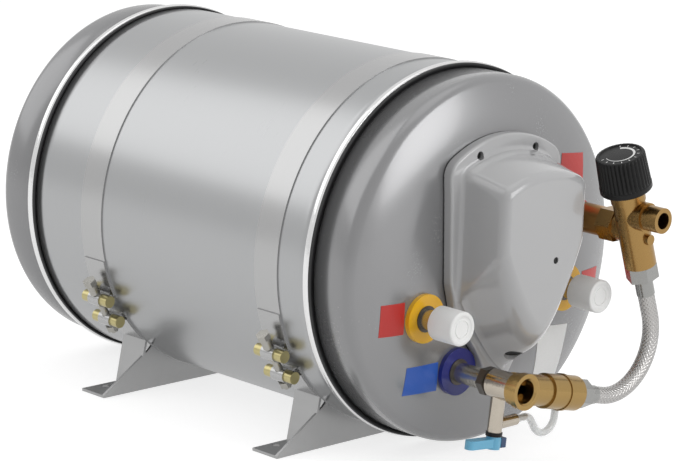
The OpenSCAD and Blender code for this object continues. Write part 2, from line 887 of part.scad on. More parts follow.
module hose_end_fittings() {
    color("#c6c8ca") {
        along_arm(arm_l) difference() {
            hex(26, low_nut_l);
            translate([0, 0, -1]) cylinder(r = 6, h = 20);
        }
        along_arm(arm_l + low_nut_l) ferrule(low_ferrule_l);
        valve_frame(-41) mirror([0, 0, 1]) difference() {
            hex(30, nut_l);
            translate([0, 0, -1]) cylinder(r = 6, h = 20);
        }
        valve_frame(-41 - nut_l) mirror([0, 0, 1]) ferrule(ferrule_l);
    }
}

module ferrule(l) {
    difference() {
        cylinder(r = hose_d / 2 + 0.8, h = l);
        translate([0, 0, -1]) cylinder(r = 6, h = l + 2);
        translate([0, 0, l - grip]) cylinder(d = hose_d, h = grip + 1);
    }
}

// A pipe through the points p in the plane x-z, rounded at each inner point by its radius, with
// a fine seam at both ends of each bend.
module bent_pipe(p, bends, r) {
    last = len(p) - 1;
    turn = [for (i = [1:last - 1]) let (a = p[i] - p[i - 1], b = p[i + 1] - p[i])
        atan2(cross2(a, b), a * b)];
    cut = concat([0], [for (i = [0:last - 2]) bends[i] * tan(abs(turn[i]) / 2)], [0]);
    for (i = [0:last - 1]) {
        d = (p[i + 1] - p[i]) / norm(p[i + 1] - p[i]);
        s = p[i] + cut[i] * d;
        l = norm(p[i + 1] - p[i]) - cut[i] - cut[i + 1];
        translate([s[0], 0, s[1]]) rotate([0, 90 - atan2(d[1], d[0]), 0]) {
            cylinder(r = r, h = l);
            if (i > 0) translate([0, 0, -0.3]) cylinder(r = r + 0.05, h = 0.6);
            if (i < last - 1) translate([0, 0, l - 0.3]) cylinder(r = r + 0.05, h = 0.6);
        }
    }
    for (i = [1:last - 1]) {
        d = (p[i] - p[i - 1]) / norm(p[i] - p[i - 1]);
        side = turn[i - 1] > 0 ? 1 : -1;
        c = p[i] - cut[i] * d + side * bends[i - 1] * [-d[1], d[0]];
        from = atan2(d[1], d[0]) - side * 90;
        translate([c[0], 0, c[1]]) rotate([90, 0, 0])
            rotate([0, 0, side > 0 ? from : from + turn[i - 1]])
            rotate_extrude(angle = abs(turn[i - 1]), $fn = 96)
            translate([bends[i - 1], 0]) circle(r = r);
    }
}

function hose_corner() =
    hose_a + down * cross2(hose_b - hose_a, out) / cross2(down, out);

module braided_hose() {
    color("#c9cbce") translate([0, -fit_h, 0]) difference() {
        bent_pipe([hose_a, hose_corner(), hose_b], [hose_bend], hose_d / 2);
        bent_pipe([hose_a, hose_corner(), hose_b], [hose_bend], hose_d / 2 - 2.8);
    }
}

module drain_tube() {
    start = [relief_foot[0] + 30, relief_foot[1] + 7.5];
    end = [barb_spot()[0], barb_spot()[2]];
    path = [start, start + [20, 0], [27, 4], end - [0, 10], end];
    color("#dfe8ea", 0.6) translate([0, -relief_h, 0]) difference() {
        bent_pipe(path, [12, 16, 12], tube_d / 2);
        bent_pipe(path, [12, 16, 12], tube_d / 2 - 1);
    }
}

module hot_nipple() {
    color("#9a6f3c") difference() {
        union() {
            ahead(hot_port, face_h + washer_t) cylinder(r = 15.5, h = 42 - washer_t);
            ahead(hot_port, face_h + 42) cylinder(r = 13.2, h = 10);
        }
        ahead(hot_port, face_h) cylinder(d = stub_d, h = 36);
        ahead(hot_port, face_h + 30) cylinder(d = stub_bore, h = 30);
    }
}

module union_nut() {
    color("#ad9878") difference() {
        ahead(hot_port, face_h + 42) hex(32, 19);
        ahead(hot_port, face_h + 41) cylinder(r = 13.2, h = 22);
    }
}

// Shapes drawn along +Z point up the mixing valve's axis, starting at a height on it.
module valve_frame(u) {
    translate([hot_port[0], -fit_h, hot_port[1]]) rotate([0, -valve_lean, 0])
        translate([0, 0, u]) children();
}

module mixing_valve() {
    color("#a7977d") difference() {
        union() {
            valve_frame(-41) cylinder(d = valve_d, h = 74);
            valve_frame(33) cylinder(d = valve_d + 2.5, h = 11);
            ahead(hot_port, face_h + 61) cylinder(r = 15, h = 19);
            ahead(hot_port, face_h + 52) cylinder(r = 13.2, h = 20);
            valve_frame(17.7) rotate([90, 0, 0]) {
                cylinder(r = 15, h = 23);
                cylinder(d = outlet_d, h = 43);
            }
            valve_frame(-9) rotate([90, 0, 0]) cylinder(r = 5.5, h = 21);
        }
        valve_frame(-42) cylinder(r = 10.5, h = 76);
        valve_frame(20) cylinder(r = spindle_d / 2 + run_gap, h = 30);
        ahead(hot_port, face_h + 50) cylinder(d = stub_bore, h = 30);
        valve_frame(17.7) rotate([90, 0, 0]) cylinder(d = outlet_bore, h = 50);
    }
}

module mixing_knob() {
    color("#1d1e20") {
        difference() {
            valve_frame(46) {
                cylinder(r = knob_d / 2, h = 6);
                cylinder(r = knob_d / 2 - 0.8, h = knob_h);
                rotate([0, 0, -20]) translate([knob_d / 2 - 4, -3, 0.5]) cube([7, 6, 5]);
            }
            valve_frame(45) cylinder(r = knob_d / 2 - 6, h = 15);
            valve_frame(46) for (i = [0:23]) rotate([0, 0, i * 15 + 2.5])
                translate([knob_d / 2 + 0.6, 0, 7.5]) cylinder(r = 2.4, h = knob_h);
        }
        valve_frame(27) cylinder(r = 10.2, h = 4);
        valve_frame(24) cylinder(d = spindle_d, h = 40);
    }
}

outer_shell();
front_cap();
rear_cap();
front_ring();
rear_ring();
front_seal();
rear_seal();
foam_insulation();
inner_tank();
element_neck();
cold_stub();
hot_stub();
engine_stubs();
port_rings();
heat_exchanger_coil();
hot_pickup_tube();
cold_inlet_tube();
element_plug();
element_gasket();
heating_element();
thermostat_probe();
thermostat_bracket();
thermostat();
reset_button();
terminal_block();
terminal_screws();
internal_wires();
electrical_cover();
cover_gasket();
cover_screws();
front_strap();
rear_strap();
clamp_barrels();
clamp_bolts();
clamp_nuts();
front_foot();
rear_foot();
engine_washers();
cold_washer();
hot_washer();
left_port_cap();
right_port_cap();
port_labels();
cold_label();
rating_plate();
collar_nut();
safety_valve_body();
relief_ring();
relief_plunger();
drain_lever();
lever_tip();
tee();
check_valve();
hose_end_fittings();
braided_hose();
drain_tube();
hot_nipple();
union_nut();
mixing_valve();
mixing_knob();
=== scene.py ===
"""A dressed model of a lying water heater for caravans and campers, built on its CAD frame."""

import json
import logging
import math
from dataclasses import dataclass, field
from enum import Enum

import bmesh
import bpy
import numpy as np
from mathutils import Matrix, Vector

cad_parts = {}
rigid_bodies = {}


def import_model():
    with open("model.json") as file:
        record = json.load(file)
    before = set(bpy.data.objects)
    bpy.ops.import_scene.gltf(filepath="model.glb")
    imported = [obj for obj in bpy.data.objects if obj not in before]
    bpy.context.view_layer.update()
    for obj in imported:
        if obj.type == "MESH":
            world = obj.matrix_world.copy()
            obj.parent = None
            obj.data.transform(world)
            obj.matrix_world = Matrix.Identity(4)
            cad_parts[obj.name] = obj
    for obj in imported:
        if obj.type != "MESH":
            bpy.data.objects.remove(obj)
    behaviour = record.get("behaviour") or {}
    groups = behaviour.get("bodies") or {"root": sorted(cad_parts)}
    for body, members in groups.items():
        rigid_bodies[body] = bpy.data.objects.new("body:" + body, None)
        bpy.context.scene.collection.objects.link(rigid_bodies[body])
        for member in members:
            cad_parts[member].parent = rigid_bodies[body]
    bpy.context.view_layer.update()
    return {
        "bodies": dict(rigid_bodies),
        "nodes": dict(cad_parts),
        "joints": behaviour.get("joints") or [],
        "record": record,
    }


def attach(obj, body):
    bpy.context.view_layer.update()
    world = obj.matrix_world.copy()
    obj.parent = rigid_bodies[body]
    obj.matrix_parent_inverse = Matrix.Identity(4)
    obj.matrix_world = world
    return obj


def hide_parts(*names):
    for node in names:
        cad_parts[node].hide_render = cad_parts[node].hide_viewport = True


LOG = logging.getLogger("water_heater")
MM = 0.001

AXIS_Z = 200.0
SHELL_R = 193.0
CAP_R = 191.0
FRONT_H = 214.0
REAR_H = 225.0
FACE_H = 282.0
BACK_H = 303.0
FIT_H = 362.0
VALVE_LEAN = math.radians(19.0)
VALVE_FOOT = np.array([120.0, -FIT_H, 234.5])
COLD_PORT = np.array([-51.5, 95.5])
LEFT_PORT = (-101.0, 158.5)
RIGHT_PORT = (104.0, 160.0)

COAT_ROUGH = 0.08
BROAD_SCALE = 14.0
BROAD_DETAIL = 3.0
ROUGH_SHARE = 0.8
ROUND_STEPS = 16
POLE_R = 0.5
ASIDE = (0.3, 0.5, 0.81)
SENSOR_MM = 36.0


class Grain(Enum):
    """How a surface is worked, which picks its fine pattern."""

    MOULDED = "moulded"
    BRUSHED = "brushed"
    CAST = "cast"
    TURNED = "turned"
    SHEET = "sheet"
    BRAID = "braid"


@dataclass(frozen=True)
class Finish:
    """One finish: colour in linear light, gloss and its fine pattern."""

    name: str
    color: tuple[float, float, float]
    rough: float = 0.4
    metal: float = 0.0
    coat: float = 0.0
    alpha: float = 1.0
    grain: Grain = Grain.MOULDED
    tone: float = 0.06
    depth: float = 0.0002
    shine: float = 0.5

    def build(self) -> bpy.types.Material:
        """Makes the finish's node material.

        Returns:
            The material, with its pattern in object space.
        """
        mat = bpy.data.materials.new(self.name)
        mat.use_nodes = True
        tree = mat.node_tree
        shader = tree.nodes["Principled BSDF"]
        shader.inputs["Metallic"].default_value = self.metal
        shader.inputs["Coat Weight"].default_value = self.coat
        shader.inputs["Coat Roughness"].default_value = COAT_ROUGH
        shader.inputs["Specular IOR Level"].default_value = self.shine
        if self.alpha < 1:
            shader.inputs["Alpha"].default_value = self.alpha
        group = tree.nodes.new("ShaderNodeGroup")
        group.node_tree = grain_group(self.grain)
        group.inputs["Color"].default_value = (*self.color, 1)
        group.inputs["Roughness"].default_value = self.rough
        group.inputs["Tone"].default_value = self.tone
        bump = tree.nodes.new("ShaderNodeBump")
        bump.inputs["Strength"].default_value = 1.0
        bump.inputs["Distance"].default_value = self.depth
        tree.links.new(group.outputs["Color"], shader.inputs["Base Color"])
        tree.links.new(group.outputs["Roughness"], shader.inputs["Roughness"])
        tree.links.new(group.outputs["Height"], bump.inputs["Height"])
        tree.links.new(bump.outputs["Normal"], shader.inputs["Normal"])
        return mat


GRAIN_SCALE = {
    Grain.MOULDED: ((1, 1, 1), 900.0, 2.0),
    Grain.BRUSHED: ((0.02, 1, 0.02), 700.0, 2.0),
    Grain.CAST: ((1, 1, 1), 380.0, 3.0),
    Grain.TURNED: ((1, 1, 1), 160.0, 2.0),
    Grain.SHEET: ((1, 0.12, 1), 60.0, 4.0),
}


def grain_group(grain: Grain) -> bpy.types.NodeTree:
    """Makes or finds the node group of one surface pattern.

    Args:
        grain: The way that the surface is worked.

    Returns:
        A group with Color, Roughness and Height outputs.
    """
    name = f"grain_{grain.value}"
    if name in bpy.data.node_groups:
        return bpy.data.node_groups[name]
    tree = bpy.data.node_groups.new(name, "ShaderNodeTree")
    face = tree.interface
    face.new_socket("Color", in_out="INPUT", socket_type="NodeSocketColor")
    face.new_socket("Roughness", in_out="INPUT", socket_type="NodeSocketFloat")
    face.new_socket("Tone", in_out="INPUT", socket_type="NodeSocketFloat")
    face.new_socket("Color", in_out="OUTPUT", socket_type="NodeSocketColor")
    face.new_socket("Roughness", in_out="OUTPUT", socket_type="NodeSocketFloat")
    face.new_socket("Height", in_out="OUTPUT", socket_type="NodeSocketFloat")
    given = tree.nodes.new("NodeGroupInput")
    result = tree.nodes.new("NodeGroupOutput")
    coord = tree.nodes.new("ShaderNodeTexCoord")
    link = tree.links.new
    if grain is Grain.BRAID:
        fine = braid_height(tree, coord.outputs["UV"])
    else:
        stretch, scale, detail = GRAIN_SCALE[grain]
        mapping = tree.nodes.new("ShaderNodeMapping")
        mapping.inputs["Scale"].default_value = stretch
        noise = tree.nodes.new("ShaderNodeTexNoise")
        noise.inputs["Scale"].default_value = scale
        noise.inputs["Detail"].default_value = detail
        link(coord.outputs["Object"], mapping.inputs["Vector"])
        link(mapping.outputs["Vector"], noise.inputs["Vector"])
        fine = noise.outputs["Fac"]
    broad = tree.nodes.new("ShaderNodeTexNoise")
    broad.inputs["Scale"].default_value = BROAD_SCALE
    broad.inputs["Detail"].default_value = BROAD_DETAIL
    link(coord.outputs["Object"], broad.inputs["Vector"])
    both = math_node(tree, "ADD", fine, broad.outputs["Fac"])
    centred = math_node(tree, "SUBTRACT", both, 1.0)
    shift = math_node(tree, "MULTIPLY", centred, given.outputs["Tone"])
    gain = math_node(tree, "ADD", shift, 1.0)
    scaled = tree.nodes.new("ShaderNodeVectorMath")
    scaled.operation = "SCALE"
    link(given.outputs["Color"], scaled.inputs[0])
    link(gain, scaled.inputs["Scale"])
    link(scaled.outputs["Vector"], result.inputs["Color"])
    rough = math_node(tree, "MULTIPLY_ADD", shift, ROUGH_SHARE, given.outputs["Roughness"])
    link(rough, result.inputs["Roughness"])
    link(fine, result.inputs["Height"])
    return tree


def math_node(tree: bpy.types.NodeTree, operation: str, *values: object) -> bpy.types.NodeSocket:
    """Adds a Math node.

    Args:
        tree: The tree that the node goes in.
        operation: The node's operation.
        values: A socket or a number for each input.

    Returns:
        The node's output socket.
    """
    node = tree.nodes.new("ShaderNodeMath")
    node.operation = operation
    for socket, value in zip(node.inputs, values):
        if isinstance(value, (int, float)):
            socket.default_value = value
        else:
            tree.links.new(value, socket)
    return node.outputs[0]


def braid_height(tree: bpy.types.NodeTree, uv: bpy.types.NodeSocket) -> bpy.types.NodeSocket:
    """Height of a wire braid: two sets of crossing strands, u along and v round the hose.

    Args:
        tree: The tree that the nodes go in.
        uv: The coordinate, in strands.

    Returns:
        A socket with the height, 0 to 1.
    """
    split = tree.nodes.new("ShaderNodeSeparateXYZ")
    tree.links.new(uv, split.inputs[0])
    u, v = split.outputs["X"], split.outputs["Y"]
    parts = []
    for sign in (1.0, -1.0):
        line = math_node(tree, "MULTIPLY_ADD", v, sign, u)
        wave = math_node(tree, "SINE", math_node(tree, "MULTIPLY", line, 2 * math.pi))
        parts.append(math_node(tree, "MULTIPLY_ADD", wave, 0.5, 0.5))
    return math_node(tree, "MAXIMUM", parts[0], parts[1])


FINISHES = {
    "shell_steel": Finish("shell_steel", (0.43, 0.435, 0.44), 0.28, 0.9, grain=Grain.BRUSHED,
                          tone=0.02, depth=0.000002),
    "cap_grey": Finish("cap_grey", (0.29, 0.29, 0.295), 0.27, 0.55, coat=0.3, tone=0.015,
                       depth=0.000001),
    "ring_steel": Finish("ring_steel", (0.78, 0.78, 0.78), 0.16, 1.0, grain=Grain.TURNED),
    "seal_black": Finish("seal_black", (0.012, 0.012, 0.013), 0.5),
    "foam": Finish("foam", (0.64, 0.5, 0.22), 0.9, grain=Grain.CAST),
    "tank_steel": Finish("tank_steel", (0.5, 0.5, 0.5), 0.35, 1.0, grain=Grain.BRUSHED),
    "stub_steel": Finish("stub_steel", (0.46, 0.44, 0.40), 0.24, 0.95, grain=Grain.TURNED),
    "dark_steel": Finish("dark_steel", (0.12, 0.11, 0.10), 0.35, 0.8, grain=Grain.TURNED),
    "copper": Finish("copper", (0.6, 0.28, 0.14), 0.3, 1.0, grain=Grain.TURNED),
    "brass": Finish("brass", (0.52, 0.34, 0.10), 0.26, 1.0, grain=Grain.TURNED, tone=0.15),
    "element_steel": Finish("element_steel", (0.3, 0.3, 0.31), 0.4, 0.9, grain=Grain.TURNED),
    "cream_plastic": Finish("cream_plastic", (0.7, 0.66, 0.55), 0.45),
    "wire_blue": Finish("wire_blue", (0.02, 0.07, 0.4), 0.45),
    "cover_grey": Finish("cover_grey", (0.45, 0.45, 0.455), 0.16, 0.0, coat=0.8, tone=0.015,
                         depth=0.000001),
    "screw_dark": Finish("screw_dark", (0.03, 0.03, 0.03), 0.4, 0.7, grain=Grain.TURNED),
    "strap_steel": Finish("strap_steel", (0.46, 0.46, 0.46), 0.24, 0.9, grain=Grain.BRUSHED,
                          tone=0.04, depth=0.000004),
    "bolt_steel": Finish("bolt_steel", (0.40, 0.39, 0.36), 0.28, 1.0, grain=Grain.TURNED),
    "foot_steel": Finish("foot_steel", (0.43, 0.43, 0.43), 0.3, 0.9, grain=Grain.SHEET,
                         tone=0.12, depth=0.00003),
    "washer_yellow": Finish("washer_yellow", (0.92, 0.50, 0.01), 0.3, coat=0.3),
    "washer_blue": Finish("washer_blue", (0.012, 0.018, 0.20), 0.3, coat=0.3),
    "washer_red": Finish("washer_red", (0.45, 0.02, 0.015), 0.3, coat=0.3),
    "cap_white": Finish("cap_white", (0.90, 0.90, 0.89), 0.42, tone=0.03),
    "label_red": Finish("label_red", (0.52, 0.02, 0.015), 0.35, coat=0.2, tone=0.04),
    "label_blue": Finish("label_blue", (0.02, 0.10, 0.46), 0.35, coat=0.2, tone=0.04),
    "label_white": Finish("label_white", (0.80, 0.80, 0.79), 0.35, coat=0.2, tone=0.03),
    "nickel": Finish("nickel", (0.50, 0.45, 0.38), 0.17, 1.0, grain=Grain.TURNED, tone=0.1),
    "black_plastic": Finish("black_plastic", (0.007, 0.007, 0.007), 0.35, shine=0.25),
    "lever_blue": Finish("lever_blue", (0.14, 0.46, 0.68), 0.3, coat=0.3),
    "tip_blue": Finish("tip_blue", (0.01, 0.05, 0.14), 0.3, coat=0.3),
    "hose_nut_steel": Finish("hose_nut_steel", (0.34, 0.34, 0.33), 0.24, 1.0,
                             grain=Grain.TURNED, tone=0.12),
    "braid_steel": Finish("braid_steel", (0.44, 0.43, 0.42), 0.2, 1.0, grain=Grain.BRAID,
                          tone=0.22, depth=0.0004),
    "clear_tube": Finish("clear_tube", (0.86, 0.88, 0.88), 0.12, alpha=0.35, coat=0.5),
    "bronze": Finish("bronze", (0.42, 0.22, 0.07), 0.3, 1.0, grain=Grain.CAST, tone=0.06,
                     depth=0.00001),
    "cast_brass": Finish("cast_brass", (0.38, 0.25, 0.095), 0.26, 1.0, grain=Grain.CAST,
                         tone=0.05, depth=0.000005),
    "dark_brass": Finish("dark_brass", (0.36, 0.22, 0.08), 0.28, 1.0, grain=Grain.CAST,
                         tone=0.05, depth=0.000005),
    "zinc_yellow": Finish("zinc_yellow", (0.50, 0.44, 0.22), 0.3, 1.0, grain=Grain.TURNED),
}

SLOT_FINISH = {
    "tee": "cast_brass",
    "check_valve": "cast_brass",
    "mixing_valve": "dark_brass",
    "union_nut": "dark_brass",
    "clamp_barrels": "zinc_yellow",
    # Painted shade: the reset button is dressed black so that it reads as the dark recess it
    # sits in.
    "reset_button": "black_plastic",
}


class Wardrobe:
    """Builds each finish once and dresses objects with them."""

    def __init__(self) -> None:
        """Starts with no material made."""
        self.made: dict[str, bpy.types.Material] = {}

    def get(self, name: str) -> bpy.types.Material:
        """Finds a finish's material, and makes it the first time.

        Args:
            name: The finish's name.

        Returns:
            The material.
        """
        if name not in self.made:
            self.made[name] = FINISHES[name].build()
        return self.made[name]

    def dress(self, obj: bpy.types.Object, name: str) -> None:
        """Gives every material slot of an object one finish.

        Args:
            obj: The object.
            name: The finish's name.
        """
        mat = self.get(name)
        if not obj.data.materials:
            obj.data.materials.append(mat)
        for index in range(len(obj.data.materials)):
            obj.data.materials[index] = mat


@dataclass
class CadPieces:
    """The CAD nodes that keep their own shape and get better finishes."""

    frame: dict
    wardrobe: Wardrobe

    def build(self) -> None:
        """Dresses every CAD node with its slot's finish."""
        for entry in self.frame["record"]["subparts"]:
            node = entry["node"]
            finish = SLOT_FINISH.get(node, entry["material_slot"])
            self.wardrobe.dress(self.frame["nodes"][node], finish)
        LOG.info("dressed %d CAD nodes", len(self.frame["nodes"]))


def add_mesh(name: str, points: np.ndarray, faces: list, finish: str, wardrobe: Wardrobe,
             body: str = "heater", smooth: bool = True) -> bpy.types.Object:
    """Adds a mesh object that rides on a body.

    Args:
        name: The piece's name.
        points: Its points in millimetres, one row each.
        faces: Its faces, as tuples of point numbers.
        finish: The finish's name.
        wardrobe: Where the finish comes from.
        body: The body that it rides on.
        smooth: Whether its faces are shaded smooth.

    Returns:
        The new object.
    """
    mesh = bpy.data.meshes.new(name)
    mesh.from_pydata((np.asarray(points, dtype=float) * MM).tolist(), [], faces)
    mesh.polygons.foreach_set("use_smooth", [smooth] * len(mesh.polygons))
    shape = bmesh.new()
    shape.from_mesh(mesh)
    bmesh.ops.recalc_face_normals(shape, faces=shape.faces)
    shape.to_mesh(mesh)
    shape.free()
    mesh.update()
    obj = bpy.data.objects.new(name, mesh)
    bpy.context.scene.collection.objects.link(obj)
    wardrobe.dress(obj, finish)
    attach(obj, body)
    return obj


def grid_faces(rows: int, cols: int, wrap: bool = True) -> list[list[int]]:
    """Lists the quads of a grid of points.

    Args:
        rows: Number of rows of points.
        cols: Number of points in a row.
        wrap: Whether each row closes on itself.

    Returns:
        The quads, as point numbers.
    """
    row, col = np.meshgrid(np.arange(rows - 1) * cols, np.arange(cols if wrap else cols - 1),
                           indexing="ij")
    after = (col + 1) % cols
    quads = [row + col, row + after, row + cols + after, row + cols + col]
    return np.stack(quads, axis=-1).reshape(-1, 4).tolist()


def arc(cx: float, cy: float, r: float, a0: float, a1: float, n: int) -> list:
    """Works out points on an arc.

    Args:
        cx: The centre's first coordinate.
        cy: The centre's second coordinate.
        r: The arc's radius.
        a0: Its first angle in degrees.
        a1: Its last angle in degrees.
        n: Number of steps.

    Returns:
        The points, one more than the steps.
    """
    angles = np.radians(np.linspace(a0, a1, n + 1))
    return [(cx + r * math.cos(a), cy + r * math.sin(a)) for a in angles]


def end_faces(rows: int, cols: int) -> list[tuple[int, ...]]:
    """Lists the faces that close the first and the last row of a grid that wraps.

    Args:
        rows: Number of rows of points.
        cols: Number of points in a row.

    Returns:
        The two faces, as point numbers.
    """
    return [tuple(reversed(range(cols))), tuple(range((rows - 1) * cols, rows * cols))]


def revolve(profile: list, loop: bool, around: int = 256,
            centre: tuple[float, float] = (0.0, AXIS_Z)) -> tuple[np.ndarray, list]:
    """Turns a profile of (radius, distance ahead) about an axis that points ahead.

    Args:
        profile: The profile's points in millimetres.
        loop: Whether the profile closes on itself, or else its ends lie on the axis.
        around: Number of points round the axis.
        centre: The axis's place in x and z, the tank's axis by default.

    Returns:
        The surface's points and faces.
    """
    prof = np.asarray(profile)
    t = np.linspace(0, 2 * math.pi, around, endpoint=False)
    x = prof[:, :1] * np.cos(t) + centre[0]
    z = prof[:, :1] * np.sin(t) + centre[1]
    y = -np.repeat(prof[:, 1:2], around, axis=1)
    faces = grid_faces(len(prof), around)
    if loop:
        last = (len(prof) - 1) * around
        here = np.arange(around)
        after = (here + 1) % around
        faces += np.column_stack([last + here, last + after, after, here]).tolist()
    else:
        faces += end_faces(len(prof), around)
    return np.stack([x, y, z], axis=-1).reshape(-1, 3), faces


def dish(r: float, edge: float, rim: float, face: float, flat: float) -> list:
    """Works out the profile of a dished cap, from its side to its middle.

    Args:
        r: Radius of the cap's side.
        edge: Radius of the rounding at the rim.
        rim: Distance ahead where the rounding starts.
        face: Distance ahead of the middle.
        flat: Radius of the flat middle.

    Returns:
        The profile's points of (radius, distance ahead).
    """
    across, deep = r - edge - flat, face - rim
    big = (across ** 2 + deep ** 2 - edge ** 2) / (2 * (deep - edge))
    lean = math.degrees(math.atan2(big - deep, across))
    crown = arc(flat, face - big, big, lean, 90, ROUND_STEPS)
    return arc(r - edge, rim, edge, 0, lean, ROUND_STEPS) + crown[1:] + [(POLE_R, face)]


@dataclass
class Tank:
    """The shell, its caps, rings and seals, as smooth turned surfaces."""

    wardrobe: Wardrobe
    ring_w: float = 8.0
    ring_rise: float = 4.0
    seal_w: float = 3.5
    seal_rise: float = 3.0
    ring_round: float = 2.6
    seal_round: float = 1.2
    edge: float = 14.0
    wall: float = 1.0
    lap: float = 8.0
    front_deep: float = 26.0
    front_flat: float = 124.0
    rear_deep: float = 29.0
    rear_flat: float = 40.0
    stations: int = 24

    def build(self) -> None:
        """Makes every turned piece of the tank's outside."""
        stations = np.linspace(FRONT_H, -REAR_H, self.stations)
        shell = [(SHELL_R, h) for h in stations]
        shell += [(SHELL_R - self.wall, h) for h in stations[::-1]]
        self.piece("shell_skin", shell, "shell_steel", "outer_shell")
        front = self.cap(FRONT_H - self.lap, FACE_H - self.front_deep, FACE_H, self.front_flat)
        self.piece("front_cap_skin", front, "cap_grey", "front_cap", loop=False)
        rear = self.cap(REAR_H - self.lap, BACK_H - self.rear_deep, BACK_H, self.rear_flat)
        self.piece("rear_cap_skin", [(r, -h) for r, h in rear], "cap_grey", "rear_cap",
                   loop=False)
        for name, h, under, base in (("front", FRONT_H, SHELL_R, CAP_R),
                                     ("rear", -REAR_H, CAP_R, SHELL_R)):
            self.piece(f"{name}_ring_bead", self.ring(h - self.ring_w, under), "ring_steel",
                       f"{name}_ring")
            self.piece(f"{name}_seal_bead", self.seal(h, base), "seal_black",
                       f"{name}_seal")

    def cap(self, foot: float, rim: float, face: float, flat: float) -> list:
        """Works out the profile of a cap's wall.

        Args:
            foot: Distance ahead where the wall starts, under the ring.
            rim: Distance ahead where the rim's rounding starts.
            face: Distance ahead of the middle.
            flat: Radius of the flat middle.

        Returns:
            The profile, from the inside's middle round the foot to the outside's middle.
        """
        outer = [(CAP_R, foot)] + dish(CAP_R, self.edge, rim, face, flat)
        t = self.wall
        inner = [(CAP_R - t, foot)] + dish(CAP_R - t, self.edge - t, rim, face - t, flat)
        return inner[::-1] + outer

    def piece(self, name: str, profile: list, finish: str, node: str,
              loop: bool = True) -> None:
        """Turns one profile and puts it in place of its CAD node.

        Args:
            name: The piece's name.
            profile: Its profile of (radius, distance ahead).
            finish: The finish's name, which is its slot's too.
            node: The CAD node that it replaces.
            loop: Whether the profile closes on itself.
        """
        points, faces = revolve(profile, loop)
        obj = add_mesh(name, points, faces, finish, self.wardrobe)
        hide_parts(node)
        LOG.info("%s stands for %s", name, node)

    def ring(self, start: float, base: float) -> list:
        """Works out the profile of an end ring, a bead with rounded edges.

        Args:
            start: Distance ahead where the ring starts.
            base: Radius of what it lies on.

        Returns:
            The profile's points.
        """
        top, end, r = SHELL_R + self.ring_rise, start + self.ring_w, self.ring_round
        return ([(base + 0.05, start)] + arc(top - r, start + r, r, -90, 0, 8)
                + arc(top - r, end - r, r, 0, 90, 8) + [(base + 0.05, end)])

    def seal(self, start: float, base: float) -> list:
        """Works out the profile of a rubber seal, a low bead beside its ring.

        Args:
            start: Distance ahead where the seal starts.
            base: Radius of what it lies on.

        Returns:
            The profile's points.
        """
        top, end, r = SHELL_R + self.seal_rise, start + self.seal_w, self.seal_round
        return ([(base, start), (top - 0.3, start)] + arc(top - r, end - r, r, 50, 90, 4)
                + [(base, end)])


@dataclass
class PortCap:
    """A white push-on cap on an engine water stub, with soft edges and a recessed face."""

    wardrobe: Wardrobe
    side: str
    centre: tuple[float, float]
    start: float = FACE_H + 23.0
    length: float = 32.0
    radius: float = 17.5
    bore: float = 10.6
    bore_l: float = 21.0
    back_round: float = 0.8
    front_round: float = 2.2
    pole: float = 0.4
    around: int = 96
    sharp: float = math.radians(50)
    face: tuple = ((13.4, 0), (12.9, -0.3), (12.4, -0.9), (9.8, -1.0), (9.4, -0.3),
                   (8.4, -0.3), (8.0, -1.0), (0.4, -1.0))

    def build(self) -> None:
        """Makes the cap in place of its CAD node."""
        end, deep = self.start + self.length, self.start + self.bore_l
        low, high = self.back_round, self.front_round
        profile = [(self.pole, deep), (self.bore, deep), (self.bore, self.start)]
        profile += arc(self.radius - low, self.start + low, low, -90, 0, 4)
        profile += arc(self.radius - high, end - high, high, 0, 90, 8)[1:]
        profile += [(r, end + step) for r, step in self.face]
        points, faces = revolve(profile, False, self.around, self.centre)
        obj = add_mesh(f"{self.side}_cap_skin", points, faces, "cap_white", self.wardrobe,
                       f"{self.side}_cap")
        obj.data.set_sharp_from_angle(angle=self.sharp)
        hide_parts(f"{self.side}_port_cap")
        LOG.info("%s_cap_skin stands for %s_port_cap", self.side, self.side)


def arch(w: float, top: float, big: float, e: float) -> list:
    """Works out the crown of a cover's outline.

    Args:
        w: Half of its width.
        top: Its height in the middle.
        big: Radius of the crown.
        e: Radius of its corners.

    Returns:
        The points from the right side over the top to the left side.
    """
    zc = top - big + math.sqrt((big - e) ** 2 - (w - e) ** 2)
    a = math.degrees(math.atan2(zc - top + big, w - e))
    return (arc(w - e, zc, e, 0, a, 10)[:-1] + arc(0, top - big, big, a, 180 - a, 30)
            + arc(e - w, zc, e, 180 - a, 180, 10)[1:])


